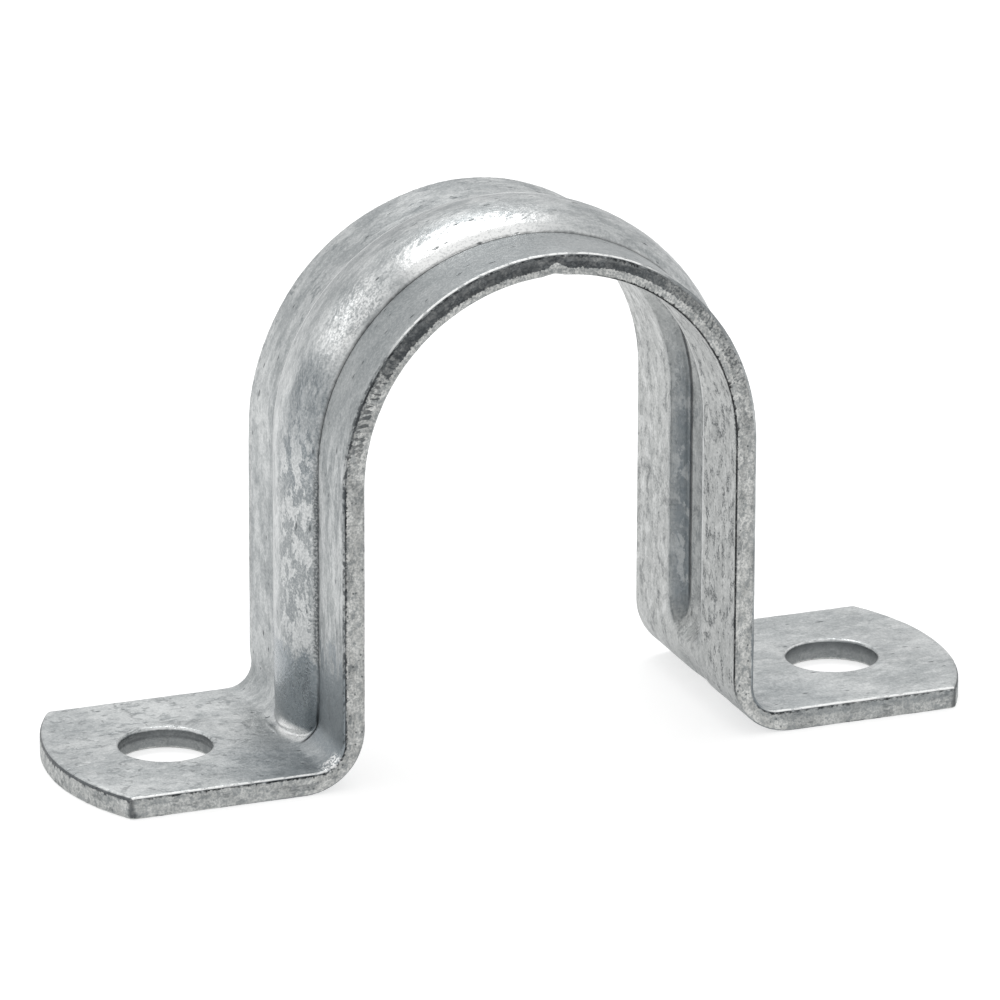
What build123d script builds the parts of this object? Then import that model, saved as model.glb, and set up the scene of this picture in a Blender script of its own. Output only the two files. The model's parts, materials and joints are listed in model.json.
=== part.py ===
# Conduit clip: one length of zinc-coated steel strip, pressed and folded into a saddle with two holed feet.
# X runs from foot to foot, Y along the conduit and Z away from the wall. The origin is on the wall face,
# midway between the feet. Lengths are in millimetres.

import os
from math import hypot, sqrt
from build123d import *

# Strip
strip_thickness = 2.0
strip_width = 22.4
outer_edge_ease = 0.25  # drawn-in edge, on the outside of the clip
inner_edge_ease = 0.1  # sheared edge, on the conduit side

# Seat for the conduit
conduit_diameter = 33.4
seat_clearance = 0.1  # on the radius
seat_height = 26.8  # wall face to the conduit's axis

# Feet
foot_reach = 37.7  # middle of the clip to the corners of a foot's rounded end
foot_end_bulge = 3.3  # how far the rounded end stands out beyond its corners
foot_corner_round = 0.5
hole_offset = 30.8  # middle of the clip to the middle of a hole
hole_diameter = 8.0
hole_rim_ease = 0.2

# Fold between a leg and its foot
fold_upper_radius = 2.3  # hollow side, above the foot
fold_under_radius = 5.4  # full side, at the wall

# Rib pressed out along the legs and the arch
rib_height = 1.6
rib_half_width = 5.0  # middle of the strip to the crease
rib_crown_radius = 10.2  # curve of the crown across the strip
rib_flank_inset = 0.65  # crease to shoulder, across the strip
rib_shoulder_round = 1.5
rib_crease_round = 0.35

# Groove that the rib leaves on the conduit side
groove_half_width = 3.6  # middle of the strip to the lip
groove_flank_inset = 1.0  # lip to the groove's floor, across the strip
groove_corner_round = 0.9
groove_lip_round = 0.3
groove_end_height = 8.6  # wall face to the centre of the groove's rounded end

# Shallow hollow across the underside of the fold, below the groove's end
hollow_depth = 0.5
hollow_half_width = 2.8
hollow_lean = 33  # degrees from the leg towards the foot
hollow_rim_round = 0.8

# Worked out from the sizes above
seat_radius = conduit_diameter / 2 + seat_clearance
back_radius = seat_radius + strip_thickness  # outside of the arch and the legs
foot_tip = foot_reach + foot_end_bulge
crown_tip = back_radius + rib_height
clip_height = seat_height + crown_tip
crown_centre = crown_tip - rib_crown_radius
floor_radius = rib_crown_radius - strip_thickness
root_depth = strip_thickness / 4  # how far a profile runs on past the face that it meets
touch = strip_thickness / 1000  # slack when edges are told apart by their place


def crown_reach(half_width, radius):
    # Distance from the conduit's axis to a curve of this radius about the crown's centre
    return crown_centre + sqrt(radius**2 - half_width**2)


shoulder_half_width = rib_half_width - rib_flank_inset
shoulder_reach = crown_reach(shoulder_half_width, rib_crown_radius)
root_half_width = rib_half_width + root_depth * rib_flank_inset / (shoulder_reach - back_radius)
floor_half_width = groove_half_width - groove_flank_inset
floor_reach = crown_reach(floor_half_width, floor_radius)
mouth_half_width = groove_half_width + root_depth * groove_flank_inset / (floor_reach - seat_radius)
hollow_radius = (hollow_half_width**2 + hollow_depth**2) / (2 * hollow_depth)


def section_plane(height):
    # Level plane across a leg: local x runs along Y, local y along X, and the normal points down
    return Plane(origin=(0, 0, height), x_dir=(0, 1, 0), z_dir=(0, 0, -1))


def is_outside(point):
    # Whether a point of the strip is on the back of the arch or leg, or on top of the foot
    reach = point.X if point.Z < seat_height else hypot(point.X, point.Z - seat_height)
    return reach > back_radius - touch and point.Z > strip_thickness - touch


seat_axis = Axis((0, 0, seat_height), (0, -1, 0))
groove_end_axis = Axis((0, 0, groove_end_height), (1, 0, 0))
hollow_plane = Plane(
    origin=(seat_radius + fold_under_radius, 0, fold_under_radius), x_dir=(-1, 0, 0)
).rotated((0, -hollow_lean, 0))

# Rib: its profile runs down the leg to the foot, and over the arch about the conduit's axis
with BuildPart() as rib:
    with BuildSketch(section_plane(seat_height)) as rib_section:
        with BuildLine():
            Polyline(
                (-shoulder_half_width, shoulder_reach),
                (-root_half_width, back_radius - root_depth),
                (root_half_width, back_radius - root_depth),
                (shoulder_half_width, shoulder_reach),
            )
            ThreePointArc(
                (shoulder_half_width, shoulder_reach), (0, crown_tip), (-shoulder_half_width, shoulder_reach)
            )
        make_face()
        fillet(rib_section.vertices().group_by(Axis.Y)[-1], rib_shoulder_round)
    extrude(rib_section.sketch, amount=seat_height - strip_thickness)
    revolve(rib_section.sketch, axis=seat_axis, revolution_arc=90)

# Groove: the matching space on the conduit side, with a rounded end above the fold
with BuildPart() as groove:
    with BuildSketch(section_plane(seat_height)) as groove_section:
        with BuildLine():
            Polyline(
                (-floor_half_width, floor_reach),
                (-mouth_half_width, seat_radius - root_depth),
                (mouth_half_width, seat_radius - root_depth),
                (floor_half_width, floor_reach),
            )
            ThreePointArc(
                (floor_half_width, floor_reach),
                (0, crown_tip - strip_thickness),
                (-floor_half_width, floor_reach),
            )
        make_face()
        fillet(groove_section.vertices().group_by(Axis.Y)[-1], groove_corner_round)
    extrude(groove_section.sketch, amount=seat_height - groove_end_height)
    revolve(groove_section.sketch, axis=seat_axis, revolution_arc=90)
    with BuildSketch(section_plane(groove_end_height)) as groove_end_section:
        add(groove_section.sketch_local)
        split(bisect_by=Plane.YZ)
    revolve(groove_end_section.sketch, axis=groove_end_axis, revolution_arc=-180)

# Hollow: a straight shallow trough laid across the fold's rounded underside, where it runs out at both ends
with BuildPart() as hollow:
    with BuildSketch(hollow_plane):
        with Locations((fold_under_radius - hollow_depth + hollow_radius, 0)):
            Circle(hollow_radius)
    extrude(amount=fold_under_radius, both=True)

# The clip is shaped as its +X half and mirrored at the end
with BuildPart() as conduit_clip:
    # Strip seen along the conduit: quarter of the arch, leg, fold and foot
    with BuildSketch(Plane.XZ):
        with BuildLine():
            Line((0, seat_height + seat_radius), (0, seat_height + back_radius))
            RadiusArc((0, seat_height + back_radius), (back_radius, seat_height), back_radius)
            Line((back_radius, seat_height), (back_radius, strip_thickness + fold_upper_radius))
            RadiusArc(
                (back_radius, strip_thickness + fold_upper_radius),
                (back_radius + fold_upper_radius, strip_thickness),
                -fold_upper_radius,
            )
            Polyline(
                (back_radius + fold_upper_radius, strip_thickness),
                (foot_tip, strip_thickness),
                (foot_tip, 0),
                (seat_radius + fold_under_radius, 0),
            )
            RadiusArc(
                (seat_radius + fold_under_radius, 0),
                (seat_radius, fold_under_radius),
                fold_under_radius,
            )
            Line((seat_radius, fold_under_radius), (seat_radius, seat_height))
            RadiusArc((seat_radius, seat_height), (0, seat_height + seat_radius), -seat_radius)
        make_face()
    extrude(amount=strip_width / 2, both=True)

    # Outline in plan, with the foot's rounded end
    with BuildSketch():
        with BuildLine():
            Polyline(
                (foot_reach, -strip_width / 2),
                (0, -strip_width / 2),
                (0, strip_width / 2),
                (foot_reach, strip_width / 2),
            )
            ThreePointArc((foot_reach, strip_width / 2), (foot_tip, 0), (foot_reach, -strip_width / 2))
        make_face()
    extrude(amount=clip_height, mode=Mode.INTERSECT)
    foot_corners = conduit_clip.edges().filter_by(Axis.Z).group_by(Axis.X)[-1]
    fillet(foot_corners, foot_corner_round)

    # Long edges: those with both ends outside are drawn in, and those with both ends inside are sheared
    long_edges = conduit_clip.edges().filter_by(Axis.Y, reverse=True)
    outer_edges = long_edges.filter_by(lambda edge: is_outside(edge @ 0) and is_outside(edge @ 1))
    inner_edges = long_edges.filter_by(lambda edge: not is_outside(edge @ 0) and not is_outside(edge @ 1))
    chamfer(outer_edges, outer_edge_ease)
    chamfer(inner_edges, inner_edge_ease)

    # Hole in the foot
    with Locations((hole_offset, 0, strip_thickness)):
        Hole(hole_diameter / 2)
    chamfer(conduit_clip.edges(Select.NEW).filter_by(GeomType.CIRCLE), hole_rim_ease)

    # Rib on the outside, then hollow and groove on the conduit side, each with its meeting lines rounded
    add(rib.part)
    fillet(conduit_clip.edges(Select.NEW), rib_crease_round)
    add(hollow.part, mode=Mode.SUBTRACT)
    fillet(conduit_clip.edges(Select.NEW), hollow_rim_round)
    add(groove.part, mode=Mode.SUBTRACT)
    fillet(conduit_clip.edges(Select.NEW), groove_lip_round)

    mirror(about=Plane.YZ)

conduit_clip.part.label = "conduit_clip"
os.makedirs("parts", exist_ok=True)
export_step(conduit_clip.part, "parts/conduit_clip.step")
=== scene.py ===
import json
import math
import bpy
import numpy as np
from mathutils import Matrix, Vector, noise


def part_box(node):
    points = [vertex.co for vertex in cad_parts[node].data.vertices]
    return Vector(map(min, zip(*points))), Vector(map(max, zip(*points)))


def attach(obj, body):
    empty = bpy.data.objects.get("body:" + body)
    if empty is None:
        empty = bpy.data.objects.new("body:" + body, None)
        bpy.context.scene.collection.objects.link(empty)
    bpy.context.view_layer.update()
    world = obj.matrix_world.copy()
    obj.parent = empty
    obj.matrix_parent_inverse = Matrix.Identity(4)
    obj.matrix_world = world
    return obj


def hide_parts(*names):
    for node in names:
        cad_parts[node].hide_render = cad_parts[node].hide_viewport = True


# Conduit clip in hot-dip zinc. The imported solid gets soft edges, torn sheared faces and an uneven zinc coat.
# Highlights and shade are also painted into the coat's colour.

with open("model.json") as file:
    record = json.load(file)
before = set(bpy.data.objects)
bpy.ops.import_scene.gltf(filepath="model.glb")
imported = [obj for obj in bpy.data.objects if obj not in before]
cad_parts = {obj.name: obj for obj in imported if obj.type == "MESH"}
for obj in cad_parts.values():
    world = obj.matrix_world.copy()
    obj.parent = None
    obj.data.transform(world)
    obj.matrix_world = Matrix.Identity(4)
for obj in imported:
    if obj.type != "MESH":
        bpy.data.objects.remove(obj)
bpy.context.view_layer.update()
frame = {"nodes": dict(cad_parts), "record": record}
scene = bpy.context.scene
cadClip = frame["nodes"]["conduit_clip"]
print("frame loaded")

# Sizes that the frame gives, in metres
mounts = {mount["name"]: mount for mount in frame["record"]["mounts"]}
seatHeight = mounts["conduit_seat"]["pos_m"][2]
seatRadius = mounts["conduit_seat"]["dims"]["r_mm"] / 1000
holeReach = mounts["fixing_holes"]["dims"]["spacing_x_mm"] / 2000
holeRadius = mounts["fixing_holes"]["dims"]["hole_r_mm"] / 1000
_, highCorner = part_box("conduit_clip")
halfWidth = highCorner.y

# Sizes of the strip that the frame doesn't state
strip = {
    "thickness": 0.002,
    "foldRadius": 0.0054,  # underside of the fold between a leg and its foot
    "ribHeight": 0.0016,
    "crownRadius": 0.0102,
    "endBulge": 0.0033,  # how far a foot's rounded end stands out beyond its corners
    "footHeight": 0.003,  # everything lower than this is taken as a foot
}
tiny = 1e-9  # keeps a divisor from 0


def activate(piece):
    bpy.ops.object.select_all(action="DESELECT")
    piece.select_set(True)
    bpy.context.view_layer.objects.active = piece


def applyModifier(piece, kind, settings):
    modifier = piece.modifiers.new(kind.lower(), kind)
    for name, value in settings.items():
        setattr(modifier, name, value)
    activate(piece)
    bpy.ops.object.modifier_apply(modifier=modifier.name)


def readPoints(mesh):
    points = np.empty(len(mesh.vertices) * 3)
    mesh.vertices.foreach_get("co", points)
    return points.reshape(-1, 3)


def readNormals(mesh):
    normals = np.empty(len(mesh.vertices) * 3)
    mesh.vertex_normals.foreach_get("vector", normals)
    return normals.reshape(-1, 3)


def writePoints(mesh, points):
    mesh.vertices.foreach_set("co", points.ravel())
    mesh.update()


def smoothStep(values, start, end):
    ratio = np.clip((values - start) / (end - start), 0, 1)
    return ratio * ratio * (3 - 2 * ratio)


# Places on the strip: how far along it from the middle of the arch, across it, and deep from the conduit
# side. The second result is the direction of that depth.
def stripPlaces(points):
    reach, height = abs(points[:, 0]), points[:, 2]
    foldCentre = seatRadius + strip["foldRadius"]
    quarter = math.pi / 2 * (seatRadius + strip["thickness"] / 2)
    bend = math.pi / 2 * (strip["foldRadius"] - strip["thickness"] / 2)
    leg = quarter + seatHeight - strip["foldRadius"]
    overSeat = height - seatHeight
    inFold, overFold = foldCentre - reach, strip["foldRadius"] - height
    onArch = height > seatHeight
    onFoot = (inFold < 0) & (overFold > 0)
    onFold = (inFold >= 0) & (overFold > 0)
    archReach = np.hypot(reach, overSeat)
    foldReach = np.hypot(inFold, overFold)
    foldDivisor = np.maximum(foldReach, tiny)
    zero, one = np.zeros(len(points)), np.ones(len(points))
    zones = [onArch, onFoot, onFold]
    along = np.select(zones, [
        np.arctan2(reach, overSeat) / (math.pi / 2) * quarter,
        leg + bend - inFold,
        leg + np.arctan2(overFold, inFold) / (math.pi / 2) * bend,
    ], quarter + seatHeight - height)
    depth = np.select(
        zones, [archReach - seatRadius, height, strip["foldRadius"] - foldReach], reach - seatRadius
    )
    outX = np.select(zones, [reach / archReach, zero, inFold / foldDivisor], one)
    outZ = np.select(zones, [overSeat / archReach, one, overFold / foldDivisor], zero)
    side = np.where(points[:, 0] < 0, -1.0, 1.0)
    places = np.column_stack([side * along, points[:, 1], depth])
    return places, np.column_stack([side * outX, zero, outZ])


# Distances in from the strip's long edges, from a foot's rounded end and from its hole
def rimDistances(points):
    reach, across = abs(points[:, 0]), points[:, 1]
    bulge = strip["endBulge"]
    endRadius = (halfWidth ** 2 + bulge ** 2) / (2 * bulge)
    endAway = endRadius - np.hypot(reach - highCorner.x + endRadius, across)
    holeAway = np.hypot(reach - holeReach, across) - holeRadius
    onFoot = points[:, 2] < strip["footHeight"]
    return np.column_stack([
        halfWidth - abs(across),
        np.where(onFoot, endAway, halfWidth),
        np.where(onFoot, holeAway, halfWidth),
    ])


# The mesh and the coat's relief. Heights are in metres and only ever go inwards.
relief = {
    "weld": 1e-6,
    "grid": 0.00012,
    "smoothing": 0.5,
    "fairRounds": 2,
    "softRounds": 1,
    "triangles": 190000,
    "lumpSize": 0.0028,
    "lumpHeight": 0.000045,
    "lumpDetail": 2,
    "grainSize": 0.0006,
    "grainHeight": 0.00002,
    "grainDetail": 1,
    "creaseDepth": 0.00009,
    "creaseBend": (0.55, 1.9),  # bends per millimetre, from none to full
    "bendRounds": 3,
}


def displace(piece, name, size, height, detail):
    texture = bpy.data.textures.new(name, "CLOUDS")
    texture.noise_scale = size
    texture.noise_depth = detail
    applyModifier(piece, "DISPLACE", {
        "texture": texture,
        "texture_coords": "LOCAL",
        "strength": height,
        "mid_level": 1.0,
    })


# How sharply the surface bends at each point, per millimetre: above 0 in a hollow and below 0 on a ridge.
# It comes from how far a point lies from the middle of its neighbours, which are one step of the grid away.
def readBends(mesh, rounds):
    points, normals = readPoints(mesh), readNormals(mesh)
    ends = np.empty(len(mesh.edges) * 2, dtype=np.int32)
    mesh.edges.foreach_get("vertices", ends)
    ends = ends.reshape(-1, 2)
    ones, others = np.concatenate([ends[:, 0], ends[:, 1]]), np.concatenate([ends[:, 1], ends[:, 0]])
    shares = 1 / np.maximum(np.bincount(ones, minlength=len(points)), 1)

    def around(values):
        return np.bincount(ones, weights=values[others], minlength=len(points)) * shares

    middles = np.column_stack([around(points[:, axis]) for axis in range(3)])
    bends = ((middles - points) * normals).sum(axis=1) * 4 / relief["grid"] ** 2 / 1000
    for _ in range(rounds):
        bends = (bends + around(bends)) / 2
    return bends


# Toe of the rib, where its crown runs out onto the foot in a hollow curve and its sides draw in
toe = {
    "round": 0.0011,
    "fullWidth": 0.0034,
    "endWidth": 0.0044,
    "near": (1.3, 1.8),  # where the curve's pull fades, in times the round
    "inward": 0.25,  # how far past the curve's centre it still pulls, in times the round
    "skin": 0.9,  # depth from which it pulls, in times the thickness
    "creaseRun": (0.0485, 0.0515),  # the crease fades out round the toe, towards the back
    "creaseAcross": (-0.0034, -0.0012),
    "narrowing": 0.17,  # share of the rib's width that is lost at the toe's end
    "narrowRun": (0.0485, 0.056),
    "narrowEnd": (0.0565, 0.0595),
    "narrowAcross": (0.0052, 0.0085),
    "narrowDepth": (0.001, 0.0015),
}


def toeWeights(points, places):
    # How much of the toe's shape a point takes, and where the toe's curve lies from it
    across = abs(points[:, 1])
    crownCentre = seatRadius + strip["thickness"] + strip["ribHeight"] - strip["crownRadius"]
    crownReach = crownCentre + np.sqrt(np.maximum(strip["crownRadius"] ** 2 - across ** 2, 0))
    centreX, centreZ = crownReach + toe["round"], strip["thickness"] + toe["round"]
    overX, overZ = centreX - abs(points[:, 0]), centreZ - points[:, 2]
    away = np.hypot(overX, overZ)
    outer = places[:, 2] > strip["thickness"] * toe["skin"]
    inCorner = (overX > -toe["round"] * toe["inward"]) & (overZ > 0) & outer
    start, end = toe["near"]
    near = 1 - smoothStep(away, toe["round"] * start, toe["round"] * end)
    return (1 - smoothStep(across, toe["fullWidth"], toe["endWidth"])) * inCorner * near, overX, overZ, away


def roundToes(points, places):
    weight, overX, overZ, away = toeWeights(points, places)
    push = weight * np.clip(1 - toe["round"] / np.maximum(away, tiny), 0, 1) * (overX > 0)
    points[:, 0] += np.sign(points[:, 0]) * overX * push
    points[:, 2] += overZ * push
    run = abs(places[:, 0])
    narrow = smoothStep(run, *toe["narrowRun"]) * (1 - smoothStep(run, *toe["narrowEnd"]))
    narrow = narrow * (1 - smoothStep(abs(places[:, 1]), *toe["narrowAcross"]))
    narrow = narrow * smoothStep(places[:, 2], *toe["narrowDepth"])
    points[:, 1] *= 1 - toe["narrowing"] * narrow


# Slight outward bow of one leg's back flange, lift of the back flange over the top of the arch, and the kink
# where the bend started there
press = {
    "bow": 0.0005,
    "bowRun": (0.019, 0.031, 0.049, 0.056),  # along the strip from the middle of the arch
    "bowAcross": (0.005, 0.0108),
    "lift": 0.0002,
    "liftPlace": 0.0045,
    "liftRun": (0.003, 0.012),
    "kink": 0.00018,
    "kinkPlace": 0.00015,
    "kinkWidth": 0.0011,
    "kinkAcross": (0.0095, 0.0108),
    "kinkDepth": (0.0002, 0.0012),
}


def bendStrip(points, places, outward):
    run, across = abs(places[:, 0]), points[:, 1]
    start, full, fade, end = press["bowRun"]
    onFlange = smoothStep(across, *press["bowAcross"])
    bow = smoothStep(run, start, full) * (1 - smoothStep(run, fade, end)) * onFlange * (places[:, 0] < 0)
    lift = (1 - smoothStep(abs(places[:, 0] - press["liftPlace"]), *press["liftRun"])) * onFlange
    kink = np.clip(1 - abs(places[:, 0] - press["kinkPlace"]) / press["kinkWidth"], 0, 1)
    kink = kink * smoothStep(-across, *press["kinkAcross"])
    kink = kink * (1 - smoothStep(places[:, 2], *press["kinkDepth"]))
    shift = press["bow"] * bow + press["lift"] * lift + press["kink"] * kink
    points += outward * shift[:, None]


# Torn zone of the sheared faces: set back a little, with tears that run through the thickness
shear = {
    "facing": 0.75,  # share of a normal that points across the strip, where a sheared face begins
    "facingRise": 0.2,
    "faceZone": 0.0004,
    "smoothDepth": 0.0006,  # burnished band at the conduit side
    "bandEdge": 0.00012,
    "wander": 0.00018,  # of the band's edge
    "wanderLength": 0.003,
    "wanderSeed": 7.0,
    "sideScale": 50,  # keeps the front and back faces unlike each other
    "setBack": 0.00004,
    "tearHeight": 0.00006,
    "tearLength": 0.0009,
    "tearWidth": 0.00026,
    "tearNoise": (0.8, 2.0, 3),  # roughness, step in size and number of octaves
    "slant": 0.3,
}


def tearFaces(points, normals, places):
    facing = np.clip((abs(normals[:, 1]) - shear["facing"]) / shear["facingRise"], 0, 1)
    facing = facing * (abs(points[:, 1]) > halfWidth - shear["faceZone"])
    for index in np.nonzero(facing > 0)[0]:
        along, across, depth = places[index]
        seed = across * shear["sideScale"]
        place = Vector((along / shear["wanderLength"], seed, shear["wanderSeed"]))
        wander = noise.noise(place) * shear["wander"]
        torn = (depth - shear["smoothDepth"] - wander) / shear["bandEdge"]
        torn = min(max(torn, 0.0), 1.0)
        aslant = along + depth * shear["slant"]
        place = Vector((aslant / shear["tearWidth"], depth / shear["tearLength"], seed))
        height = 0.5 + 0.5 * noise.fractal(place, *shear["tearNoise"])
        push = torn * (shear["setBack"] + shear["tearHeight"] * min(max(height, 0.0), 1.0))
        points[index, 1] -= math.copysign(push * facing[index], points[index, 1])


def addAttribute(mesh, name, rows):
    attribute = mesh.attributes.new(name, "FLOAT_VECTOR", "POINT")
    attribute.data.foreach_set("vector", rows.ravel())


def makeClip():
    clip = bpy.data.objects.new("zinc_clip", cadClip.data.copy())
    scene.collection.objects.link(clip)
    activate(clip)
    bpy.ops.object.mode_set(mode="EDIT")
    bpy.ops.mesh.select_all(action="SELECT")
    bpy.ops.mesh.remove_doubles(threshold=relief["weld"])
    bpy.ops.object.mode_set(mode="OBJECT")
    applyModifier(clip, "REMESH", {"mode": "VOXEL", "voxel_size": relief["grid"]})
    applyModifier(clip, "SMOOTH", {"factor": relief["smoothing"], "iterations": relief["fairRounds"]})
    applyModifier(clip, "SHRINKWRAP", {"target": cadClip, "wrap_method": "NEAREST_SURFACEPOINT"})
    applyModifier(clip, "SMOOTH", {"factor": relief["smoothing"], "iterations": relief["softRounds"]})
    mesh = clip.data
    print("fine mesh:", len(mesh.polygons), "faces")
    creases = smoothStep(readBends(mesh, relief["bendRounds"]), *relief["creaseBend"])
    points, normals = readPoints(mesh), readNormals(mesh)
    places, outward = stripPlaces(points)
    facing = (normals * outward).sum(axis=1)
    toes = toeWeights(points, places)[0]
    fadedCrease = smoothStep(abs(places[:, 0]), *toe["creaseRun"]) * smoothStep(points[:, 1], *toe["creaseAcross"])
    creases = creases * (1 - fadedCrease)
    # Facing, crease and toe masks for the coat; the crease mask sets where the crease shade is painted
    addAttribute(mesh, "zones", np.column_stack([facing, creases, toes]))
    points -= normals * (creases * relief["creaseDepth"])[:, None]
    roundToes(points, places)
    tearFaces(points, normals, places)
    bendStrip(points, places, outward)
    writePoints(mesh, points)
    displace(clip, "coatLumps", relief["lumpSize"], relief["lumpHeight"], relief["lumpDetail"])
    displace(clip, "coatGrain", relief["grainSize"], relief["grainHeight"], relief["grainDetail"])
    applyModifier(clip, "DECIMATE", {"ratio": relief["triangles"] / (2 * len(mesh.polygons))})
    activate(clip)
    bpy.ops.object.shade_smooth()
    points = readPoints(clip.data)
    places, outward = stripPlaces(points)
    addAttribute(clip.data, "strip", places * 1000)
    addAttribute(clip.data, "rims", rimDistances(points) * 1000)
    return clip


# Shader maths: a socket of a material's tree, written as a plain value
class Wire:
    def __init__(self, tree, socket=None):
        self.tree = tree
        self.socket = socket

    def node(self, kind, settings, values, output=0):
        made = self.tree.nodes.new(kind)
        for name, value in settings.items():
            setattr(made, name, value)
        for key, value in values.items():
            if isinstance(value, Wire):
                self.tree.links.new(value.socket, made.inputs[key])
            else:
                made.inputs[key].default_value = value
        return Wire(self.tree, made.outputs[output] if made.outputs else None)

    def maths(self, operation, *values):
        return self.node("ShaderNodeMath", {"operation": operation}, dict(enumerate(values)))

    def __add__(self, other):
        return self.maths("ADD", self, other)

    def __radd__(self, other):
        return self.maths("ADD", other, self)

    def __sub__(self, other):
        return self.maths("SUBTRACT", self, other)

    def __rsub__(self, other):
        return self.maths("SUBTRACT", other, self)

    def __mul__(self, other):
        return self.maths("MULTIPLY", self, other)

    def __rmul__(self, other):
        return self.maths("MULTIPLY", other, self)

    def __truediv__(self, other):
        return self.maths("DIVIDE", self, other)

    def __abs__(self):
        return self.maths("ABSOLUTE", self)

    def rise(self, start, end):
        # 0 at start and 1 at end, eased between
        return self.node("ShaderNodeMapRange", {"interpolation_type": "SMOOTHSTEP"}, {
            "Value": self, "From Min": start, "From Max": end,
        })

    def band(self, start, full, fade, end):
        # 1 between full and fade, and 0 outside start and end
        return self.rise(start, full) * (1 - self.rise(fade, end))

    def blend(self, first, second):
        # This value picks between two colours
        return self.node("ShaderNodeMix", {"data_type": "RGBA"}, {0: self, 6: first, 7: second}, 2)

    def outlet(self, name):
        # Another output of the node that this value comes from
        return Wire(self.tree, self.socket.node.outputs[name])

    def parts(self):
        split = self.node("ShaderNodeSeparateXYZ", {}, {0: self})
        return [split.outlet(name) for name in "XYZ"]


def colour(red, green, blue):
    return (red, green, blue, 1.0)


zinc = {
    # white serves only the painted highlights
    "white": colour(0.88, 0.885, 0.88),
    # bright also serves the painted highlights on the groove's lip and the crown's back shoulder
    "bright": colour(0.70, 0.712, 0.71),
    "pale": colour(0.57, 0.585, 0.585),
    "mid": colour(0.39, 0.408, 0.412),
    "dull": colour(0.23, 0.248, 0.256),
    # Blue-grey of the glassy coat low on the legs, partly painted shade, and of the painted shade at the left
    # arch's foot, in the fold and on the groove walls
    "smooth": colour(0.225, 0.254, 0.274),  # glassy blue-grey coat low on the legs
    # Real stains, and also painted shade on the crown, the groove walls, the creases and along edges
    "stain": colour(0.09, 0.10, 0.105),
    "torn": colour(0.055, 0.061, 0.066),
    # Painted shade in creases and corners and along edges
    "crevice": colour(0.018, 0.020, 0.022),
    "bare": colour(0.50, 0.506, 0.494),
    "bareLight": colour(0.66, 0.665, 0.65),
}

# Noises of the coat. Sizes are in millimetres, and the stretch is along, across and through the strip.
grains = {
    "fine": {"size": 0.21, "detail": 1.0, "roughness": 0.6, "shift": 11.0},
    "coarse": {"size": 0.5, "stretch": (1.4, 1, 1), "detail": 3.0, "roughness": 0.65, "shift": 17.0},
    "blotches": {"size": 1.3, "stretch": (1.5, 1, 1), "detail": 5.0, "roughness": 0.65, "shift": 67.0},
    "clouds": {"size": 6.0, "stretch": (1.5, 1, 1), "detail": 4.0, "roughness": 0.62},
    "patches": {
        "size": 1.15, "stretch": (1.6, 1, 1), "detail": 5.0, "roughness": 0.68,
        "shift": 31.0, "distortion": 0.4,
    },
    "flames": {
        "size": 0.75, "stretch": (5.5, 1, 1), "detail": 5.0, "roughness": 0.66,
        "shift": 37.0, "distortion": 0.4,
    },
    "brushed": {
        "size": 0.26, "stretch": (5, 1, 1), "detail": 3.0, "roughness": 0.6, "shift": 51.0, "turn": 38,
    },
    "leaves": {
        "size": 3.2, "stretch": (2.6, 1, 1), "detail": 3.0, "roughness": 0.55,
        "shift": 113.0, "distortion": 0.6,
    },
    "border": {"size": 2.2, "stretch": (1.5, 1, 1), "detail": 6.0, "roughness": 0.7, "shift": 83.0},
    "worms": {
        "size": 1.3, "stretch": (1.5, 1, 1), "detail": 1.0, "roughness": 0.5,
        "shift": 57.0, "distortion": 0.8,
    },
    "wormShare": {"size": 1.2, "detail": 1.0, "shift": 71.0},
    "drift": {"size": 1.1, "stretch": (3.0, 1, 1), "detail": 4.0, "roughness": 0.65, "shift": 77.0},
    "soot": {"size": 0.9, "stretch": (1.4, 1, 1), "detail": 5.0, "roughness": 0.7, "shift": 101.0},
    "sootShare": {"size": 3.6, "stretch": (1.5, 1, 1), "detail": 3.0, "shift": 103.0},
    "faceWander": {"size": 0.9, "detail": 5.0, "roughness": 0.7, "shift": 19.0},
    "faceGrey": {"size": 0.9, "stretch": (1.6, 1, 1), "detail": 5.0, "roughness": 0.65, "shift": 23.0},
    "tears": {
        "size": 0.36, "stretch": (1, 1, 3.0), "detail": 2.0, "roughness": 0.6, "shift": 43.0, "slant": 0.35,
    },
    "faceStains": {"size": 1.4, "stretch": (2.5, 1, 1), "detail": 5.0, "roughness": 0.7, "shift": 91.0},
    "broken": {"size": 0.7, "detail": 5.0, "roughness": 0.7, "shift": 97.0},
}

# Small spots, one in some of a noise's cells. Each spot's edge is given in shares of a cell.
spots = {
    "flecks": {"size": 1.2, "stretch": (2.2, 1, 1), "shift": 3.0, "share": 0.45, "edge": (0.06, 0.15)},
    "smallFlecks": {"size": 0.6, "stretch": (2.4, 1, 1), "shift": 29.0, "share": 0.20, "edge": (0.08, 0.20)},
    "pits": {"size": 0.5, "stretch": (1, 1, 1), "shift": 13.0, "share": 0.4, "edge": (0.10, 0.26)},
}

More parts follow.
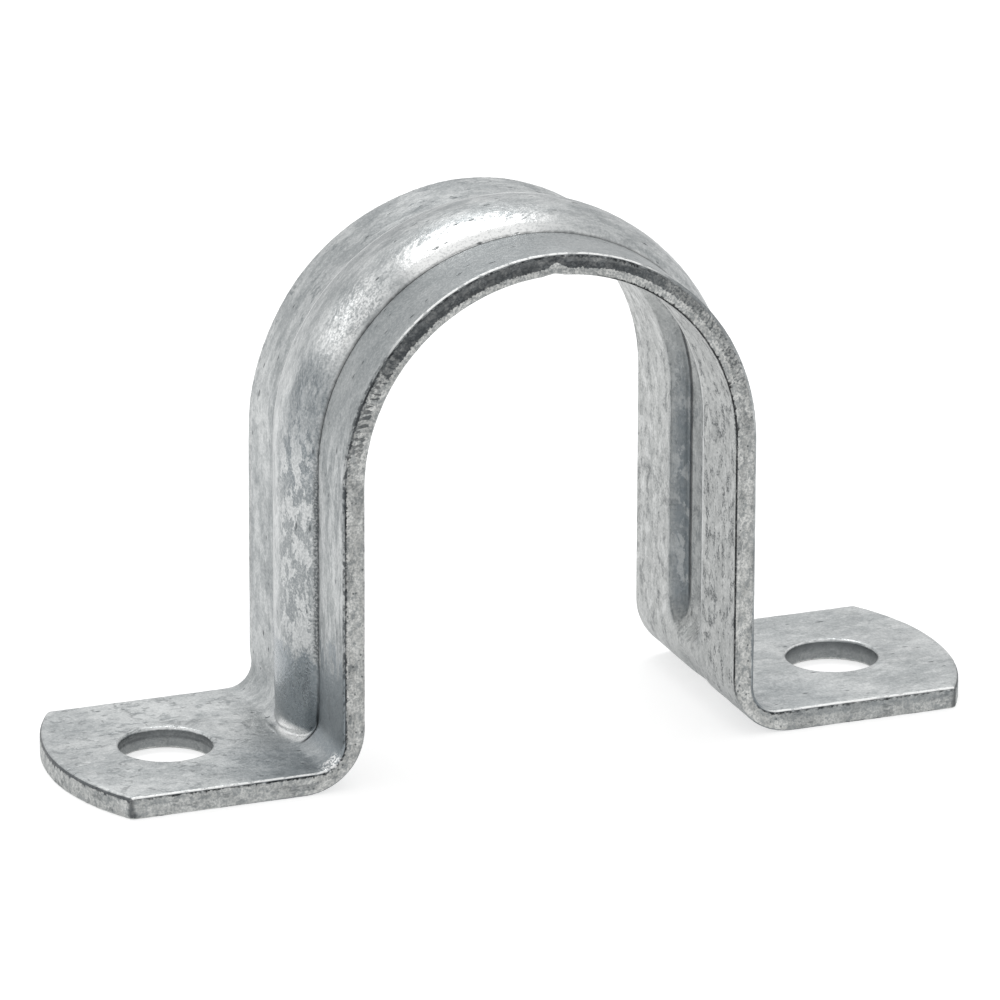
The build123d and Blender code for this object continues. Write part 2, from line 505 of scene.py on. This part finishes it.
# Where the looks change along the strip, in millimetres from the middle of the arch. Two numbers are a rise
# or a fall, and four are a rise and then a fall. In a span over the top of the arch, the left is below 0.
spans = {
    "leg": (22, 29, 43, 49),
    "foot": (55, 57),
    "archEnd": (16, 27),
    "sideChange": (0, 1),
    "polish": (-12, -8.5, -1, 4.5),
    "polishTaper": (-9, 2),
    "glow": (-21, -16.5, -14, -10.5),
    "pastPolish": (2, 7, 24, 32),
    "shade": (18, 22, 27, 33),
    "smoothStart": (44.0, 45.6),
    "smoothEnd": (52.3, 54.3),
    "foldShade": (51, 54, 58.0, 64.5),
    "grooveWall": (17, 32, 46, 49.5),
    "grooveCorner": (14, 24, 45.5, 48.5),
    "grooveFloor": (20, 32, 44, 48.5),
    "grooveLip": (8, 20, 43, 46),
    "grooveEndLip": (0.8, 1.6),  # from the centre of the groove's rounded end
    "under": (49, 54, 58, 62),
    "backLineEnd": (28, 42),
    "backLineTop": (-4, 2),
    "backLineRight": (-4, 2, 8, 18),
    "kink": (0.15, 1.2),  # from the kink itself
    "bandThins": (1, 8),
    "darkLeft": (14, 21),
    "darkRight": (6, 18),
    "middleThins": (-4, 8),
    "strokes": (11, 15, 22, 29),
    "edgeDark": (10, 15, 22, 30),
    "rightHatch": (4, 10, 18, 30),
    "rightFoot": (50, 58),
    "litArch": (-18, -13, 7, 12),
    "litFoot": (53.0, 55.0),
    "leftUpright": (13, 18, 51, 54),
    "rightUpright": (7, 13, 51, 54),
    "innerLine": (2, 8, 49, 52),
    "creaseEnd": (27, 31),
    "legCrease": (24, 31, 44, 47),
    "creaseFade": (44, 48),
    "creaseGap": (50.5, 52.5, 57, 58),
    "toeNarrows": (48.5, 56),
    "crescent": (46.5, 48, 53.0, 54.2),
    "crescentDarkens": (48.5, 51.5),
    "nose": (53.1, 53.6, 54.4, 55.1),
    "glint": (51.8, 52.6, 53.8, 54.8),
}
grooveEnd = 46.2  # centre of the groove's rounded end
kinkPlace = 0.35

# The same across the strip, in millimetres from its middle. Over the middle, the front is below 0.
widths = {
    "crown": (4.4, 5.0),
    "flange": (4.9, 5.3),
    "morePatches": (-3.0, 3.5),  # below 0 towards the back
    "backSlope": (-0.3, 0.7),
    "smoothBack": (3.4, 4.8),
    "polishFront": (-5.05, -4.95),
    "polishBack": (-3.4, -1.8),
    "glowFront": (-4.9, -4.5),
    "glowBack": (-3.0, -1.2),
    "shade": (-5.2, -4.6, -2.2, 1.2),
    "foldShade": (-6, 1),
    "soot": (3.6, 4.4),
    "innerBack": (3.8, 4.4),
    "grooveWall": (1.95, 2.1, 2.8, 4.2),
    "grooveCorner": (1.72, 1.92, 2.12, 2.36),
    "grooveFloor": (1.75, 1.95),
    "grooveLip": (3.66, 3.76, 3.92, 4.05),
    "grooveEndLip": (1.7, 2.0, 2.4, 2.8),
    "endLipFront": (-0.5, 1),  # below 0 towards the back
    "under": (1, 9),
    "backLine": (3.25, 3.5, 4.1, 4.5),
    "backLineRight": (1.7, 2.3, 3.2, 3.6),
    "holeRim": (1.5, 3.0),
    "crease": (4.98, 5.06, 5.16, 5.24),
    "legCrease": (4.55, 4.8, 5.12, 5.25),
    "creaseBack": (4.2, 4.6),
    "crescent": (4.80, 4.92, 5.10, 5.22),
    "nose": (-4.4, -3.8, -0.8, 1.0),
    "glint": (9.4, 10.1, 11.0, 11.2),
}

# Through the strip, in millimetres from the conduit side
depths = {
    "torn": (0.58, 0.66),
    "middle": (1.10, 1.30, 1.50, 1.70),
    "strokes": (1.3, 1.7),
    "edgeDark": (1.3, 1.75),
    "upper": (0.8, 1.3),
    "boreDark": (0.7, 1.8),
    "score": (0.95, 1.10, 1.20, 1.35),
    "ragged": (1.60, 1.74),
}

# In from an edge of the strip, a foot's end or a hole, in millimetres
edges = {
    "below": (0.09, 0.13),
    "top": (0.12, 0.16, 0.25, 0.31),
    "ragged": (0.14, 0.42),
    "footEnd": (0.12, 0.20),
    "corner": (0.22, 0.50),
    "inner": (0.10, 0.16),
    "hole": (0.05, 0.09, 0.13, 0.19),
    "bore": (0.1, 0.3),
}

# How far a face turns outwards: 1 is away from the conduit, 0 is a sheared face and -1 is the conduit side
turns = {
    "flat": (0.0, 0.2),
    "sheared": (0.15, 0.35),
    "edge": (0.06, 0.20),
}

# Where a mark begins and is full in its noise, which lies about 0.5
levels = {
    "clouds": (0.36, 0.64),
    "patches": (0.552, 0.567),
    "flames": (0.46, 0.54),
    "brushed": (0.44, 0.58),
    "leaves": (0.48, 0.51),
    "wormEdge": (0.012, 0.075),  # this one is away from 0.5, to either side
    "wormShare": (0.50, 0.60),
    "driftDull": (0.46, 0.62),
    "driftBright": (0.48, 0.62),
    "marks": (0.54, 0.60),
    "markGrain": (0.38, 0.56),
    "pales": (0.54, 0.62),
    "fineDull": (0.45, 0.62),
    "fineBright": (0.47, 0.64),
    "coarseDull": (0.50, 0.64),
    "polishGrain": (0.5, 0.66),
    "glowGrain": (0.42, 0.62),
    "glowDull": (0.50, 0.58),
    "soot": (0.49, 0.61),
    "sootGrain": (0.42, 0.56),
    "wallGrain": (0.42, 0.60),
    "endLipGrain": (0.42, 0.56),
    "backLineGrain": (0.5, 0.62),
    "faceGrey": (0.38, 0.62),
    "faceFine": (0.44, 0.58),
    "faceCoarse": (0.50, 0.60),
    "tornGrain": (0.35, 0.55),
    "tornPale": (0.52, 0.62),
    "strokes": (0.49, 0.55),
    "edgeGrain": (0.4, 0.55),
    "hatch": (0.46, 0.58),
    "hatchGrain": (0.42, 0.56),
    "faceStains": (0.54, 0.60),
    "broken": (0.36, 0.50),
    "raggedGrain": (0.46, 0.58),
    "creaseGrain": (0.42, 0.55),
    "noseGrain": (0.45, 0.55),
    "glintGrain": (0.42, 0.58),
}

bumps = {"strength": 0.55, "distance": 0.00009}


def layered(tone, layers):
    # Lays colours of the coat over a tone, each as strongly as its mask
    for mask, name in layers:
        tone = mask.blend(tone, zinc[name])
    return tone


def makeZinc():
    material = bpy.data.materials.new("hotDipZinc")
    material.use_nodes = True
    material.node_tree.nodes.clear()
    wire = Wire(material.node_tree)

    def attribute(name):
        return wire.node("ShaderNodeAttribute", {"attribute_name": name}, {}, "Vector").parts()

    along, across, depth = attribute("strip")
    facing, creases, toes = attribute("zones")
    sideAway, endAway, holeAway = attribute("rims")
    run, offset = abs(along), abs(across)
    leftRun, forward, inward = 0 - along, 0 - across, 0 - facing

    def stretched(stretch, shift, turn=0, slant=0):
        aslant, cross = along, across
        if turn:
            cosine, sine = math.cos(math.radians(turn)), math.sin(math.radians(turn))
            aslant, cross = along * cosine + across * sine, across * cosine - along * sine
        if slant:
            aslant = aslant + depth * slant
        return wire.node("ShaderNodeCombineXYZ", {}, {
            0: aslant / stretch[0] + shift, 1: cross / stretch[1], 2: depth / stretch[2],
        })

    def grain(size, detail, stretch=(1, 1, 1), roughness=0.55, shift=0.0, distortion=0.0, turn=0, slant=0):
        return wire.node("ShaderNodeTexNoise", {}, {
            "Vector": stretched(stretch, shift, turn, slant), "Scale": 1 / size, "Detail": detail,
            "Roughness": roughness, "Distortion": distortion,
        }, "Fac")

    def specks(size, stretch, shift, share, edge):
        # A cell's own random colour says whether it holds a spot
        away = wire.node("ShaderNodeTexVoronoi", {}, {
            "Vector": stretched(stretch, shift), "Scale": 1 / size,
        }, "Distance")
        pick = away.outlet("Color").parts()[0]
        return (1 - away.rise(*edge)) * pick.rise(1 - share, 1.02 - share)

    field = {name: grain(**settings) for name, settings in grains.items()}
    fine, coarse, blotches = field["fine"], field["coarse"], field["blotches"]

    # Parts of the strip: 1 on the part and 0 off it. Clouds in the coat lie under all of them.
    outside, inside = facing.rise(*turns["flat"]), inward.rise(*turns["flat"])
    sides = 1 - abs(facing).rise(*turns["sheared"])
    onLeg = run.band(*spans["leg"])
    onFoot = run.rise(*spans["foot"])
    onArch = 1 - run.rise(*spans["archEnd"])
    onLeft, onRight = leftRun.rise(*spans["sideChange"]), along.rise(*spans["sideChange"])
    crown = outside * (1 - offset.rise(*widths["crown"]))
    backFlange = outside * across.rise(*widths["flange"])
    frontFlange = outside * forward.rise(*widths["flange"])
    tone = field["clouds"].rise(*levels["clouds"]).blend(zinc["mid"], zinc["pale"])

    # Ragged pale patches on the crown of the legs, and pale flames drawn down the front flange
    patches = field["patches"] + 0.06 * forward.rise(*widths["morePatches"])
    patches = patches.rise(*levels["patches"])
    flames = field["flames"].rise(*levels["flames"])
    strayed = across + 3.0 * (blotches - 0.5) + 2.0 * (field["flames"] - 0.5)
    pastMiddle = strayed.rise(*widths["backSlope"])
    patchy, backSlope = onLeg * crown * (1 - pastMiddle), crown * pastMiddle
    tone = layered(tone, [
        (patchy * 0.85, "dull"),
        (onLeg * backSlope * 0.7, "pale"),
        (onLeg * frontFlange * (1 - flames) * 0.5, "dull"),
        (onLeg * frontFlange * flames * 0.75, "pale"),
    ])

    # The crown: brushed, with a painted highlight at the top and a fainter one lower on the left, painted
    # shade where the arch begins on the left, and darker past the highlight
    brushed = field["brushed"].rise(*levels["brushed"])
    frayed = across + 1.6 * (coarse - 0.5) + 1.2 * (brushed - 0.5)
    tapered = frayed + 0.8 * along.rise(*spans["polishTaper"])
    # Painted highlight on the crown's front slope over the top of the arch
    polish = outside * across.rise(*widths["polishFront"]) * along.band(*spans["polish"])
    polish = polish * (1 - tapered.rise(*widths["polishBack"]))
    # Painted highlight: a second, speckled patch lower on the left of the crown
    glow = outside * across.rise(*widths["glowFront"]) * (1 - frayed.rise(*widths["glowBack"]))
    glow = glow * along.band(*spans["glow"])
    # Painted shade on the crown where the arch turns into the left leg
    shade = leftRun.band(*spans["shade"]) * across.band(*widths["shade"]) * outside
    tone = layered(tone, [
        (onArch * backSlope * 0.45, "dull"),
        (crown * along.band(*spans["pastPolish"]) * 0.5, "dull"),
        (onArch * backFlange * 0.4, "dull"),
        (field["leaves"].rise(*levels["leaves"]) * onLeg * backFlange * 0.45, "dull"),
        (brushed * (1 - polish) * 0.25 * crown * (1 - onFoot), "dull"),
        (shade * (0.72 + 0.28 * brushed), "smooth"),
        (shade * (0.15 + 0.25 * brushed), "stain"),
    ])

    # Glassy darker coat low on the legs, partly painted shade of the foot and floor it reflects, with a ragged
    # border above and a soft end in the fold. It leaves the back flange free. Painted shade in the fold below
    # it.
    border = run + 6.0 * (field["border"] - 0.5) + 1.6 * (fine - 0.5)
    border = border + 3.0 * (flames - 0.5) * frontFlange + 1.1 * frontFlange
    smooth = border.rise(*spans["smoothStart"]) * (1 - run.rise(*spans["smoothEnd"]))
    smooth = smooth * outside * (1 - strayed.rise(*widths["smoothBack"]))
    foldShade = run.band(*spans["foldShade"]) * outside * (1 - across.rise(*widths["foldShade"]))
    foldShade = foldShade * (1 - smooth) * (0.66 + 0.8 * (coarse - 0.5)) * (1 - 0.6 * onRight)
    tone = layered(tone, [(smooth * 0.92, "smooth"), (foldShade, "smooth")])

    # Wrinkles, drifts, blotches, grain, the painted highlights on the crown and small flecks
    calm = frontFlange * onArch
    worms = 1 - abs(field["worms"] - 0.5).rise(*levels["wormEdge"])
    worms = worms * field["wormShare"].rise(*levels["wormShare"])
    worms = worms * (0.15 + 0.85 * onFoot) * (1 - smooth) * (1 - foldShade) * (1 - 0.6 * onRight)
    drift = field["drift"]
    drifting = (1 - smooth) * (1 - 0.85 * onFoot) * (1 - 0.7 * patchy) * (1 - 0.6 * calm)
    marks = blotches.rise(*levels["marks"]) * coarse.rise(*levels["markGrain"])
    marking = 0.34 + 0.35 * inside + 0.55 * backFlange * onArch + 0.26 * onFoot * onLeft
    pales = (1 - blotches).rise(*levels["pales"])
    paling = (0.25 + 0.3 * inside + 0.12 * onFoot) * (1 - smooth) * (1 - foldShade)
    grit = (0.30 + 0.2 * patchy + 0.3 * inside) * (1 - 0.3 * smooth)
    flecks = specks(**spots["flecks"]) + specks(**spots["smallFlecks"])
    tone = layered(tone, [
        (worms * 0.48, "stain"),
        (drift.rise(*levels["driftDull"]) * 0.34 * drifting, "dull"),
        ((1 - drift).rise(*levels["driftBright"]) * 0.30 * drifting, "bright"),
        (marks * marking, "dull"),
        (pales * paling, "bright"),
        (calm * 0.6, "dull"),
        (patches * patchy * (1 - smooth) * 0.72, "bright"),
        (fine.rise(*levels["fineDull"]) * 0.55 * grit, "dull"),
        ((1 - fine).rise(*levels["fineBright"]) * 0.50 * grit, "bright"),
        (coarse.rise(*levels["coarseDull"]) * 0.22 * (1 - 0.5 * calm), "dull"),
        (polish * (0.92 - 0.4 * fine.rise(*levels["polishGrain"])), "white"),
        (glow * (0.60 - 0.5 * fine.rise(*levels["glowGrain"])), "white"),
        (glow * coarse.rise(*levels["glowDull"]) * 0.35, "dull"),
        (flecks * (0.8 - 0.35 * smooth), "stain"),
    ])

    # Conduit side: warmer, with darker marks on the front flange, painted shade on the groove's walls, corners
    # and floor and under the fold, and painted highlights on the groove's front lip and at its rounded end
    soot = (field["soot"] + 0.35 * (field["sootShare"] - 0.5)).rise(*levels["soot"])
    soot = inside * soot * (0.45 + 0.55 * forward.rise(*widths["soot"]))
    innerBack = inside * across.rise(*widths["innerBack"])
    # Painted shade on the groove's walls, in its corners and on its floor
    wallShade = inside * offset.band(*widths["grooveWall"]) * run.band(*spans["grooveWall"])
    corner = inside * offset.band(*widths["grooveCorner"]) * run.band(*spans["grooveCorner"])
    floor = inside * (1 - offset.rise(*widths["grooveFloor"])) * run.band(*spans["grooveFloor"])
    # Painted highlight along the groove's front lip
    lipHighlight = inside * forward.band(*widths["grooveLip"]) * run.band(*spans["grooveLip"])
    # Painted shade on the fold's underside, darker towards the front
    under = inside * run.band(*spans["under"])
    # Painted highlight on the lip round the groove's rounded end
    pastEnd = run - grooveEnd
    endReach = wire.maths("SQRT", pastEnd * pastEnd + across * across)
    endLipHighlight = inside * endReach.band(*widths["grooveEndLip"]) * pastEnd.rise(*spans["grooveEndLip"])
    endLipHighlight = endLipHighlight * forward.rise(*widths["endLipFront"])
    tone = layered(tone, [
        (inside * 0.5, "bare"),
        (soot * (0.36 + 0.5 * fine.rise(*levels["sootGrain"])), "stain"),
        (innerBack * marks * 0.45, "stain"),
        (innerBack * pales * 0.4, "bright"),
        (wallShade * (0.75 + 0.25 * coarse.rise(*levels["wallGrain"])), "smooth"),
        (wallShade * 0.3, "stain"),
        (wallShade * pales * 0.4, "pale"),
        (corner * 0.75, "crevice"),
        (floor * (0.30 + 0.4 * marks), "dull"),
        (lipHighlight * 0.6, "bright"),
        (under * (0.4 + 0.35 * forward.rise(*widths["under"])), "dull"),
        (endLipHighlight * (1 - fine).rise(*levels["endLipGrain"]) * 0.7, "white"),
    ])

    # Painted highlight: a thin bright line on the crown's back shoulder, over the arch
    frayedBack = across + 0.5 * (coarse - 0.5)
    backLine = frayedBack.band(*widths["backLine"]) * (1 - run.rise(*spans["backLineEnd"]))
    backLine = backLine * (1 - along.rise(*spans["backLineTop"]))
    rightHighlight = frayedBack.band(*widths["backLineRight"]) * along.band(*spans["backLineRight"])
    backLine = outside * (backLine + rightHighlight)
    tone = layered(tone, [(backLine * (0.85 - 0.4 * coarse.rise(*levels["backLineGrain"])), "bright")])

    # Sheared faces: burnished band, torn band, hatched ends and the pitted grey of the legs
    kink = 1 - abs(along - kinkPlace).rise(*spans["kink"])
    wander = depth - 0.45 * kink + 0.3 * (field["faceWander"] - 0.5)
    wander = wander + 0.3 * (fine - 0.5) - 0.24 * along.rise(*spans["bandThins"]) * onArch
    torn = wander.rise(*depths["torn"])
    dark = 1 - leftRun.rise(*spans["darkLeft"]) - along.rise(*spans["darkRight"])
    middle = (0.12 + 0.2 * along.rise(*spans["middleThins"])) * wander.band(*depths["middle"])
    tears = field["tears"]
    strokes = torn * (1 - wander.rise(*depths["strokes"])) * tears.rise(*levels["strokes"])
    strokes = strokes * leftRun.band(*spans["strokes"])
    # Painted shade below the outer edge, on the left of the arch
    edgeDark = torn * wander.rise(*depths["edgeDark"]) * leftRun.band(*spans["edgeDark"])
    rightHatch = torn * along.band(*spans["rightHatch"]) * (0.30 + 0.5 * tears.rise(*levels["hatch"]))
    pits = specks(**spots["pits"])
    stains = field["faceStains"].rise(*levels["faceStains"])
    upper = depth.rise(*depths["upper"]) * along.rise(*spans["rightFoot"])
    bore = sides * (1 - holeAway.rise(*edges["bore"])) * onFoot
    score = bore * depth.band(*depths["score"]) * onLeft
    face = field["faceGrey"].rise(*levels["faceGrey"]).blend(zinc["bare"], zinc["bareLight"])
    face = layered(face, [
        (fine.rise(*levels["faceFine"]) * (0.40 + 0.17 * onArch), "dull"),
        (coarse.rise(*levels["faceCoarse"]) * (0.38 + 0.15 * (1 - onArch)), "dull"),
        (onFoot * 0.22, "dull"),
        (torn * dark * (0.97 - middle) * (0.80 + 0.20 * coarse.rise(*levels["tornGrain"])), "torn"),
        (torn * dark * coarse.rise(*levels["tornPale"]) * 0.22, "mid"),
        (strokes * 0.75, "torn"),
        (edgeDark * (0.45 + 0.4 * fine.rise(*levels["edgeGrain"])), "stain"),
        (rightHatch * (0.6 + 0.4 * fine.rise(*levels["hatchGrain"])), "stain"),
        (pits * 0.8 * (1 - onArch) * (1 - 0.6 * onFoot), "stain"),
        (stains * (0.28 + 0.12 * onFoot + 0.3 * upper), "stain"),
        (upper * 0.5, "dull"),
        (bore * 0.6, "mid"),
        (bore * (0.30 + 0.45 * depth.rise(*depths["boreDark"])), "stain"),
        (score * 0.45, "stain"),
    ])
    tone = sides.blend(tone, face)

    # Edges: a painted highlight as a thin bright line where the drawn-in edge faces up, painted shade as a
    # dark line below it and on the right leg's edge, and a dark line inside, also painted shade
    broken = field["broken"].rise(*levels["broken"])
    lit = along.band(*spans["litArch"]) + run.rise(*spans["litFoot"])
    leftUpright, rightUpright = leftRun.band(*spans["leftUpright"]), along.band(*spans["rightUpright"])
    outward = facing.rise(*turns["edge"])
    below = (1 - sideAway.rise(*edges["below"])) * outward
    top = sideAway.band(*edges["top"]) * outside
    ragged = leftUpright * (1 - sideAway.rise(*edges["ragged"])) * depth.rise(*depths["ragged"])
    endLine = (1 - endAway.rise(*edges["footEnd"])) * outward
    cornerLine = 1 - (sideAway + endAway).rise(*edges["corner"])
    # Painted shade along the inner front edge
    innerLine = (1 - sideAway.rise(*edges["inner"])) * inward.rise(*turns["edge"])
    innerLine = innerLine * along.band(*spans["innerLine"])
    # Painted highlight on the far rim of each hole
    rimHighlight = holeAway.band(*edges["hole"]) * outside * across.rise(*widths["holeRim"])
    tone = layered(tone, [
        (below * (0.6 + 0.35 * broken) * (1 - 0.7 * rightUpright), "crevice"),
        (top * lit * (0.25 + 0.75 * broken), "white"),
        (top * rightUpright * 0.35, "stain"),
        (ragged * (0.20 + 0.65 * coarse.rise(*levels["raggedGrain"])), "torn"),
        (endLine * 0.85, "torn"),
        (cornerLine * sides * 0.7, "torn"),
        (innerLine * (0.6 + 0.35 * broken), "crevice"),
        (rimHighlight * broken * 0.55, "white"),
    ])

    # Painted shade in the creases beside the crown: a crisp dark line, wider and granular on the legs. It
    # bends round the toe.
    crease = outside * forward.band(*widths["crease"]) * (1 - run.rise(*spans["creaseEnd"]))
    legCrease = outside * forward.band(*widths["legCrease"]) * run.band(*spans["legCrease"])
    creased = creases * 0.9 * (1 - across.rise(*widths["creaseBack"]))
    creased = creased * (1 - 0.6 * run.rise(*spans["creaseFade"]))
    creased = creased * (1 - 0.85 * run.band(*spans["creaseGap"]))
    drawnIn = 0.85 * run.rise(*spans["toeNarrows"]) - across  # from the rib's middle, as its end narrows
    crescent = outside * drawnIn.band(*widths["crescent"]) * run.band(*spans["crescent"])
    crescent = crescent * (0.45 + 0.5 * run.rise(*spans["crescentDarkens"]))
    tone = layered(tone, [
        (crease * 0.7, "crevice"),
        (legCrease * (0.35 + 0.45 * fine.rise(*levels["creaseGrain"])), "stain"),
        (creased, "crevice"),
        (crescent, "crevice"),
    ])

    # Painted highlight on the nose of the rib's toe, made partly matt there, and a painted speckled glint
    # where the front edge turns into the foot
    nose = (run + 0.06 * across * across).band(*spans["nose"]) * across.band(*widths["nose"])
    nose = nose * outside * (0.8 + 0.2 * toes)
    nose = nose * (0.75 + 0.25 * (1 - fine).rise(*levels["noseGrain"])) * (1 - crescent)
    glint = outside * leftRun.band(*spans["glint"]) * forward.band(*widths["glint"])
    tone = layered(tone, [
        (nose, "white"),
        (glint * (1 - fine).rise(*levels["glintGrain"]) * 0.85, "white"),
    ])

    # Roughness of each kind of coat, and a fine relief of its grain, flecks and wrinkles
    rough = 0.40 + 0.10 * patches + 0.08 * fine - 0.12 * smooth - 0.08 * crown - 0.06 * polish
    rough = rough - 0.08 * nose - 0.12 * glint + 0.12 * sides
    height = fine * 0.5 + coarse * 0.5 - flecks * 0.8 - worms * 0.5
    bump = wire.node("ShaderNodeBump", {}, {
        "Strength": bumps["strength"], "Distance": bumps["distance"], "Height": height,
    }, "Normal")
    shader = wire.node("ShaderNodeBsdfPrincipled", {}, {
        "Base Color": tone, "Metallic": 1 - 0.55 * nose, "Roughness": rough, "Normal": bump,
    }, "BSDF")
    wire.node("ShaderNodeOutputMaterial", {}, {"Surface": shader})
    return material


# Floor and air: white to the camera and to reflections, and plainer for light and shadow
stage = {
    "floorSize": 6.0,
    "floorColour": colour(0.6, 0.6, 0.6),
    "lift": 0.62,
    "air": 0.8,
    "airInMetal": 0.2,
}


def addSeenRays(wire):
    # 1 for the rays that the camera sends, also by way of a reflection or through glass
    kinds = ["Is Camera Ray", "Is Glossy Ray", "Is Transmission Ray"]
    camera, glossy, through = [wire.node("ShaderNodeLightPath", {}, {}, kind) for kind in kinds]
    return camera + glossy + through


def makeFloor():
    bpy.ops.object.select_all(action="DESELECT")
    bpy.ops.mesh.primitive_plane_add(size=stage["floorSize"])
    floor = bpy.context.object
    floor.name = "floor"
    material = bpy.data.materials.new("floorPaper")
    material.use_nodes = True
    material.node_tree.nodes.clear()
    wire = Wire(material.node_tree)
    matt = wire.node("ShaderNodeBsdfDiffuse", {}, {"Color": stage["floorColour"]})
    glow = wire.node("ShaderNodeEmission", {}, {"Strength": addSeenRays(wire) * stage["lift"]})
    both = wire.node("ShaderNodeAddShader", {}, {0: matt, 1: glow})
    wire.node("ShaderNodeOutputMaterial", {}, {"Surface": both})
    floor.data.materials.append(material)


# Soft studio light: a long lamp above and behind, and a smaller one low at the left. Lengths are in metres.
lamps = [
    {"name": "overhead", "place": (0.02, 0.32, 0.62), "width": 0.42, "height": 0.16, "power": 0.95},
    {"name": "leftSide", "place": (-0.50, 0.36, 0.37), "width": 0.16, "height": 0.16, "power": 0.18},
]


def makeLamps():
    for lamp in lamps:
        data = bpy.data.lights.new(lamp["name"], "AREA")
        data.shape = "ELLIPSE"
        data.size = lamp["width"]
        data.size_y = lamp["height"]
        data.energy = lamp["power"]
        light = bpy.data.objects.new(lamp["name"], data)
        scene.collection.objects.link(light)
        light.location = lamp["place"]
        light.rotation_euler = Vector(lamp["place"]).to_track_quat("Z", "Y").to_euler()


# Even white room round the clip
def makeAir():
    world = bpy.data.worlds.new("studio")
    world.use_nodes = True
    world.node_tree.nodes.clear()
    wire = Wire(world.node_tree)
    air = wire.node("ShaderNodeBackground", {}, {
        "Color": colour(1, 1, 1), "Strength": addSeenRays(wire) * stage["airInMetal"] + stage["air"],
    })
    wire.node("ShaderNodeOutputWorld", {}, {"Surface": air})
    scene.world = world


# The photograph's camera: angles in degrees, place and distance in metres, lens and sensor in millimetres
photoView = {
    "azimuth": -21.304,
    "elevation": 19.305,
    "roll": 0.195,
    "distance": 0.78836,
    "aim": (0.00198, 0.00597, 0.01793),
    "lens": 328.92,
    "sensor": 36.0,
    "nearest": 0.01,
}


def makeCamera():
    data = bpy.data.cameras.new("photoCamera")
    data.lens = photoView["lens"]
    data.sensor_width = photoView["sensor"]
    data.clip_start = photoView["nearest"]
    camera = bpy.data.objects.new("photoCamera", data)
    scene.collection.objects.link(camera)
    turn = (
        Matrix.Rotation(math.radians(photoView["azimuth"]), 4, "Z")
        @ Matrix.Rotation(math.radians(90 - photoView["elevation"]), 4, "X")
        @ Matrix.Rotation(math.radians(photoView["roll"]), 4, "Z")
    )
    away = turn @ Vector((0, 0, photoView["distance"]))
    camera.matrix_world = Matrix.Translation(Vector(photoView["aim"]) + away) @ turn
    scene.camera = camera


makeCamera()
makeFloor()
makeLamps()
makeAir()
scene.view_settings.view_transform = "Standard"
print("stage set")

clip = makeClip()
clip.data.materials.clear()
clip.data.materials.append(makeZinc())
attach(clip, "root")
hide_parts("conduit_clip")
print("clip made:", len(clip.data.polygons), "faces")
